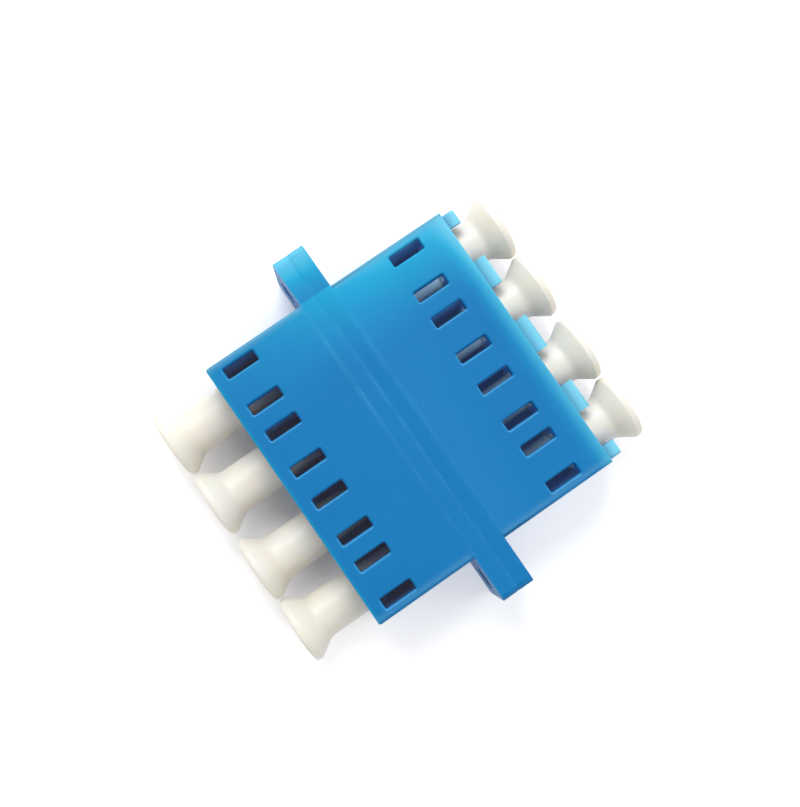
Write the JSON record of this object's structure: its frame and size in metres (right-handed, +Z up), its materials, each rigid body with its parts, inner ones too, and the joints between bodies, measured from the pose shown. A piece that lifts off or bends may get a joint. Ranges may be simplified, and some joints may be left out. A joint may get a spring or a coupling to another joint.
{
  "type": "fibre optic adapter",
  "caption": "Multi-port LC fibre adapter with a two-eared panel flange, latch windows along its top and a flared dust cap in each port.",
  "frame": {"origin": "below the middle of the flange, on the surface that the adapter lies on; Y = 0 is the weld between the two halves", "axes": "+X along the row of ports, +Y along the plugs towards the long half, +Z up through the latch windows"},
  "size_m": [0.034, 0.0346, 0.0094],
  "materials": {
    "housing_blue": "semi-matte moulded blue plastic",
    "cap_white": "milky white moulded plastic, slightly glossy",
    "zirconia": "polished white ceramic"
  },
  "bodies": {
    "adapter": {"housing_short_half": "housing_blue", "housing_long_half": "housing_blue", "split_sleeve_1": "zirconia", "split_sleeve_2": "zirconia", "split_sleeve_3": "zirconia", "split_sleeve_4": "zirconia"},
    "cap_short_1": {"dust_cap_short_1": "cap_white"},
    "cap_short_2": {"dust_cap_short_2": "cap_white"},
    "cap_short_3": {"dust_cap_short_3": "cap_white"},
    "cap_short_4": {"dust_cap_short_4": "cap_white"},
    "cap_long_1": {"dust_cap_long_1": "cap_white"},
    "cap_long_2": {"dust_cap_long_2": "cap_white"},
    "cap_long_3": {"dust_cap_long_3": "cap_white"},
    "cap_long_4": {"dust_cap_long_4": "cap_white"}
  },
  "joints": [
    {"name": "cap_short_1_pull", "type": "slide", "parent": "adapter", "child": "cap_short_1", "axis": [0, -1, 0], "range_m": [0, 0.01]},
    {"name": "cap_short_2_pull", "type": "slide", "parent": "adapter", "child": "cap_short_2", "axis": [0, -1, 0], "range_m": [0, 0.01]},
    {"name": "cap_short_3_pull", "type": "slide", "parent": "adapter", "child": "cap_short_3", "axis": [0, -1, 0], "range_m": [0, 0.01]},
    {"name": "cap_short_4_pull", "type": "slide", "parent": "adapter", "child": "cap_short_4", "axis": [0, -1, 0], "range_m": [0, 0.01]},
    {"name": "cap_long_1_pull", "type": "slide", "parent": "adapter", "child": "cap_long_1", "axis": [0, 1, 0], "range_m": [0, 0.013]},
    {"name": "cap_long_2_pull", "type": "slide", "parent": "adapter", "child": "cap_long_2", "axis": [0, 1, 0], "range_m": [0, 0.013]},
    {"name": "cap_long_3_pull", "type": "slide", "parent": "adapter", "child": "cap_long_3", "axis": [0, 1, 0], "range_m": [0, 0.013]},
    {"name": "cap_long_4_pull", "type": "slide", "parent": "adapter", "child": "cap_long_4", "axis": [0, 1, 0], "range_m": [0, 0.013]}
  ]
}
